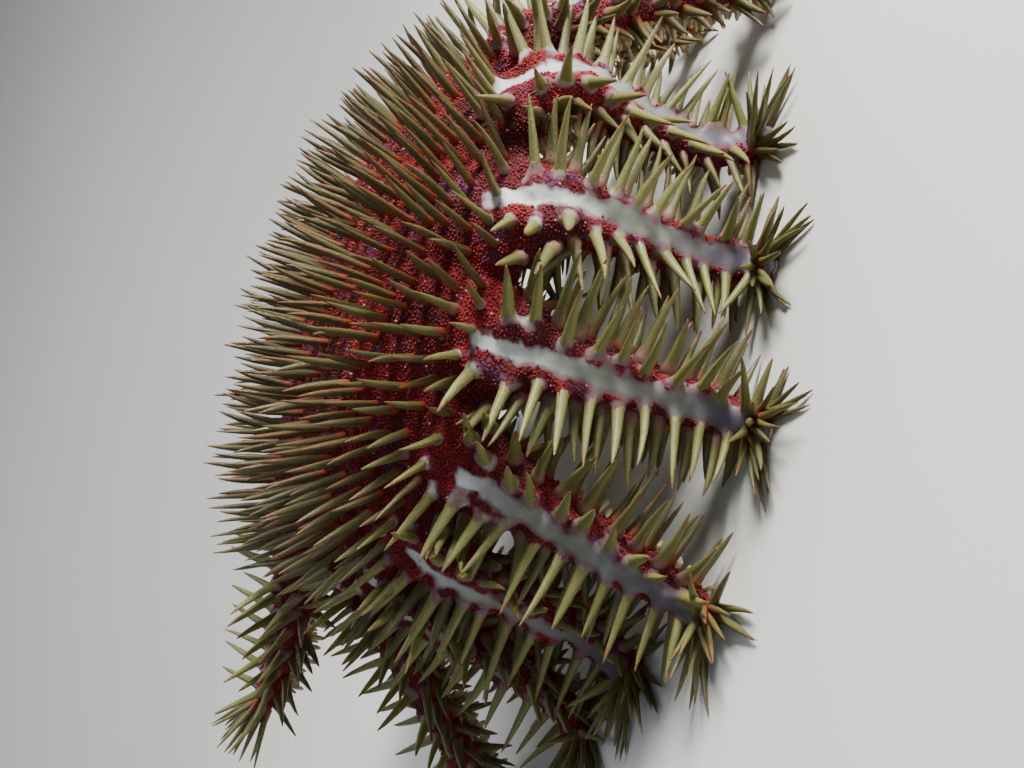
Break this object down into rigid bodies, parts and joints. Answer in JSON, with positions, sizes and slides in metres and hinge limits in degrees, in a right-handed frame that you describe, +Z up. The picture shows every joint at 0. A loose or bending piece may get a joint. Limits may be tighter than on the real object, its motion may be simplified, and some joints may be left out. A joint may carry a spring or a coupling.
{
  "type": "crown of thorns starfish model",
  "caption": "Life-size still model of a spiny many-armed starfish, its domed disc standing on the tips of its drooping arms.",
  "frame": {"origin": "on the floor under the middle of the whole animal's box", "axes": "+Z up out of the disc's back; -Y is the side that the picture shows"},
  "size_m": [0.364, 0.2896, 0.1509],
  "materials": {
    "disc_skin": "matt granular red-brown skin with olive spines",
    "ray_skin": "matt granular dark red skin with olive spines",
    "arm_skin": "pale grey ridge between dark red flanks, olive spines",
    "spines": "olive, rust-brown towards the tips",
    "underside": "pale skin with tube feet in grooves"
  },
  "bodies": {
    "root": {"disc": "disc_skin", "ray_01": "ray_skin", "ray_02": "ray_skin", "ray_03": "ray_skin", "ray_04": "ray_skin", "ray_05": "ray_skin", "ray_06": "ray_skin", "ray_07": "ray_skin", "ray_08": "ray_skin", "ray_09": "ray_skin", "ray_10": "ray_skin", "ray_11": "ray_skin", "ray_12": "ray_skin", "ray_13": "ray_skin", "ray_14": "ray_skin", "ray_15": "ray_skin", "arm_01": "arm_skin", "arm_02": "arm_skin", "arm_03": "arm_skin", "arm_04": "arm_skin", "arm_05": "arm_skin", "arm_06": "arm_skin", "arm_07": "arm_skin", "arm_08": "arm_skin", "arm_09": "arm_skin", "arm_10": "arm_skin", "arm_11": "arm_skin", "arm_12": "arm_skin", "arm_13": "arm_skin", "arm_14": "arm_skin", "arm_15": "arm_skin"}
  },
  "joints": []
}
